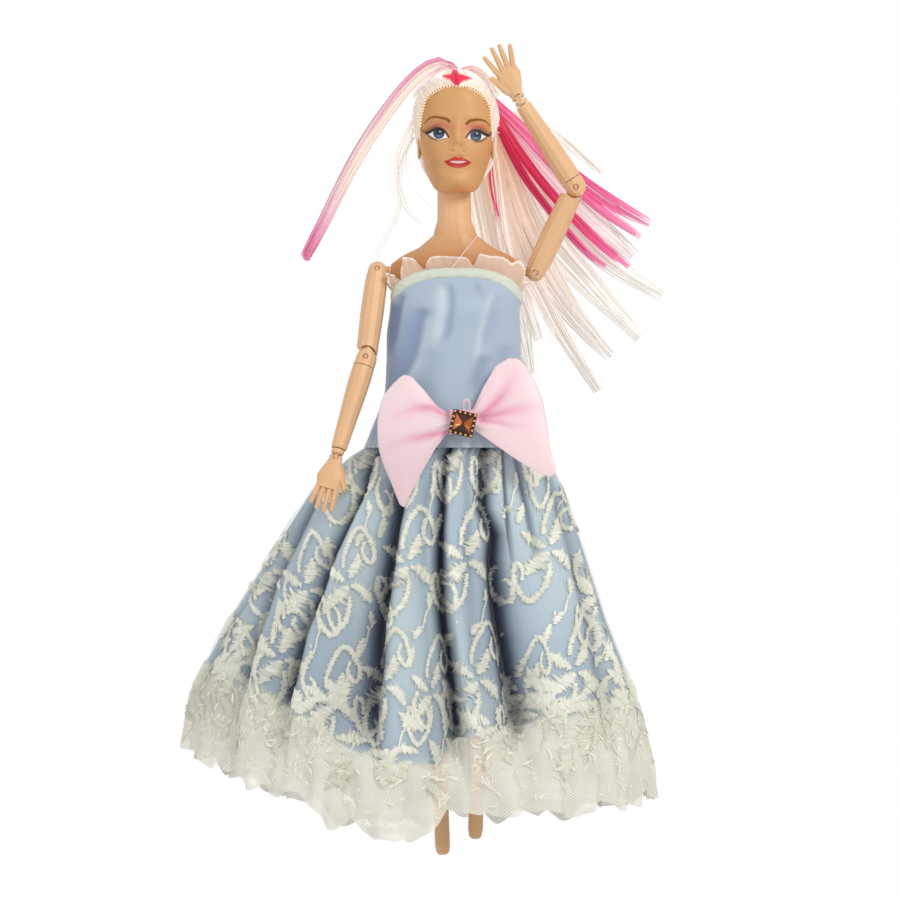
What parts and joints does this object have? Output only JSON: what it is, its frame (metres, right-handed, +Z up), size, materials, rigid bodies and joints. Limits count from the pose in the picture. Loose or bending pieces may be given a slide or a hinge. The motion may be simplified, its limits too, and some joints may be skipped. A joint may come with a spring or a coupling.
{
  "type": "fashion doll",
  "caption": "Jointed fashion doll in a strapless satin gown with a lace overskirt, a waist bow with a square brooch, and long two-colour hair.",
  "frame": {"origin": "middle of the waist, where a doll stand clip grips the figure", "axes": "+Z up towards the head, -Y out of the face and chest, +X towards the doll's left hand"},
  "size_m": [0.1833, 0.1154, 0.3103],
  "materials": {
    "face": "satin, painted features",
    "skin": "satin",
    "steel": "plain",
    "satin": "satin weave",
    "band": "matt",
    "organza": "sheer",
    "lace": "lace on net",
    "bow": "satin weave",
    "gold": "antiqued",
    "amber": "polished, clear amber",
    "blonde_hair": "fine fibre",
    "pink_hair": "fine fibre"
  },
  "bodies": {
    "torso": {"torso_front": "skin", "torso_back": "skin", "hip_axle": "steel", "neck_knob": "skin", "bodice": "satin", "neckline_band": "band", "neckline_ruffle": "organza", "closure_strip": "band", "satin_skirt": "satin", "lace_overskirt": "lace", "bow_wing_right": "bow", "bow_wing_left": "bow", "bow_knot": "bow", "brooch_setting": "gold", "brooch_stone": "amber"},
    "head": {"head": "face", "hair_cap": "blonde_hair", "hair_lock_right": "blonde_hair", "hair_fall_pink": "pink_hair", "hair_fall_blonde": "blonde_hair", "hair_fall_back": "blonde_hair"},
    "shoulder_left": {"shoulder_joint_left": "skin"},
    "upper_arm_left": {"upper_arm_left": "skin", "shoulder_pin_left": "steel"},
    "elbow_left": {"elbow_connector_left": "skin", "elbow_pin_left": "steel"},
    "forearm_left": {"forearm_left": "skin"},
    "wrist_left": {"wrist_joint_left": "skin"},
    "hand_left": {"hand_left": "skin", "wrist_pin_left": "steel"},
    "hip_left": {"hip_joint_left": "steel"},
    "thigh_left": {"thigh_left": "skin", "hip_pin_left": "steel"},
    "shin_left": {"lower_leg_left": "skin", "knee_pin_left": "steel"},
    "shoulder_right": {"shoulder_joint_right": "skin"},
    "upper_arm_right": {"upper_arm_right": "skin", "shoulder_pin_right": "steel"},
    "elbow_right": {"elbow_connector_right": "skin", "elbow_pin_right": "steel"},
    "forearm_right": {"forearm_right": "skin"},
    "wrist_right": {"wrist_joint_right": "skin"},
    "hand_right": {"hand_right": "skin", "wrist_pin_right": "steel"},
    "hip_right": {"hip_joint_right": "steel"},
    "thigh_right": {"thigh_right": "skin", "hip_pin_right": "steel"},
    "shin_right": {"lower_leg_right": "skin", "knee_pin_right": "steel"}
  },
  "joints": [
    {"name": "head_turn", "type": "hinge", "parent": "torso", "child": "head", "pos_m": [-0.001, 0, 0.069], "axis": [0, 0, 1], "range_deg": [-75, 75], "deforming": ["hair_lock_right", "hair_fall_pink", "hair_fall_blonde", "hair_fall_back"]},
    {"name": "shoulder_swing_left", "type": "hinge", "parent": "torso", "child": "shoulder_left", "pos_m": [0.0305, 0, 0.036], "axis": [-1, 0, 0], "range_deg": [-110, 50]},
    {"name": "shoulder_lift_left", "type": "hinge", "parent": "shoulder_left", "child": "upper_arm_left", "pos_m": [0.0305, 0, 0.036], "axis": [0, -0.9945, -0.1045], "range_deg": [-148, 2]},
    {"name": "elbow_bend_left", "type": "hinge", "parent": "upper_arm_left", "child": "elbow_left", "pos_m": [0.04571, -0.00341, 0.06845], "axis": [0, -0.9945, -0.1045], "range_deg": [-58, 3]},
    {"name": "forearm_twist_left", "type": "hinge", "parent": "elbow_left", "child": "forearm_left", "pos_m": [0.04571, -0.00341, 0.06845], "axis": [0.5446, 0.0877, -0.8341], "range_deg": [-90, 90]},
    {"name": "wrist_turn_left", "type": "hinge", "parent": "forearm_left", "child": "wrist_left", "pos_m": [0.02311, -0.00705, 0.10306], "axis": [0.5446, 0.0877, -0.8341], "range_deg": [-80, 80]},
    {"name": "wrist_bend_left", "type": "hinge", "parent": "wrist_left", "child": "hand_left", "pos_m": [0.02311, -0.00705, 0.10306], "axis": [-0.8387, 0.0569, -0.5417], "range_deg": [-45, 45]},
    {"name": "hip_swing_left", "type": "hinge", "parent": "torso", "child": "hip_left", "pos_m": [0.012, 0, -0.038], "axis": [-1, 0, 0], "range_deg": [-20, 9], "deforming": ["satin_skirt", "lace_overskirt"]},
    {"name": "hip_spread_left", "type": "hinge", "parent": "hip_left", "child": "thigh_left", "pos_m": [0.012, 0, -0.038], "axis": [0, -0.9816, 0.1908], "range_deg": [0, 18]},
    {"name": "knee_bend_left", "type": "hinge", "parent": "thigh_left", "child": "shin_left", "pos_m": [0.00955, -0.01411, -0.1106], "axis": [0.9995, -0.0063, -0.0325], "range_deg": [-32, 10]},
    {"name": "shoulder_swing_right", "type": "hinge", "parent": "torso", "child": "shoulder_right", "pos_m": [-0.0305, 0, 0.036], "axis": [-1, 0, 0], "range_deg": [-60, 120]},
    {"name": "shoulder_lift_right", "type": "hinge", "parent": "shoulder_right", "child": "upper_arm_right", "pos_m": [-0.0305, 0, 0.036], "axis": [0, 0.9563, -0.2924], "range_deg": [-3, 150]},
    {"name": "elbow_bend_right", "type": "hinge", "parent": "upper_arm_right", "child": "elbow_right", "pos_m": [-0.03458, -0.01046, 0.00179], "axis": [0, 0.9563, -0.2924], "range_deg": [-9, 70]},
    {"name": "forearm_twist_right", "type": "hinge", "parent": "elbow_right", "child": "forearm_right", "pos_m": [-0.03458, -0.01046, 0.00179], "axis": [0.2672, 0.2817, 0.9215], "range_deg": [-90, 90]},
    {"name": "wrist_turn_right", "type": "hinge", "parent": "forearm_right", "child": "wrist_right", "pos_m": [-0.04567, -0.02215, -0.03645], "axis": [0.2672, 0.2817, 0.9215], "range_deg": [-80, 80]},
    {"name": "wrist_bend_right", "type": "hinge", "parent": "wrist_right", "child": "hand_right", "pos_m": [-0.04567, -0.02215, -0.03645], "axis": [-0.9636, 0.0781, 0.2556], "range_deg": [-45, 45]},
    {"name": "hip_swing_right", "type": "hinge", "parent": "torso", "child": "hip_right", "pos_m": [-0.012, 0, -0.038], "axis": [-1, 0, 0], "range_deg": [-10, 20]},
    {"name": "hip_spread_right", "type": "hinge", "parent": "hip_right", "child": "thigh_right", "pos_m": [-0.012, 0, -0.038], "axis": [0, 1, 0], "range_deg": [0, 18]},
    {"name": "knee_bend_right", "type": "hinge", "parent": "thigh_right", "child": "shin_right", "pos_m": [-0.00864, 0, -0.11192], "axis": [0.999, 0, 0.0454], "range_deg": [0, 42]}
  ]
}
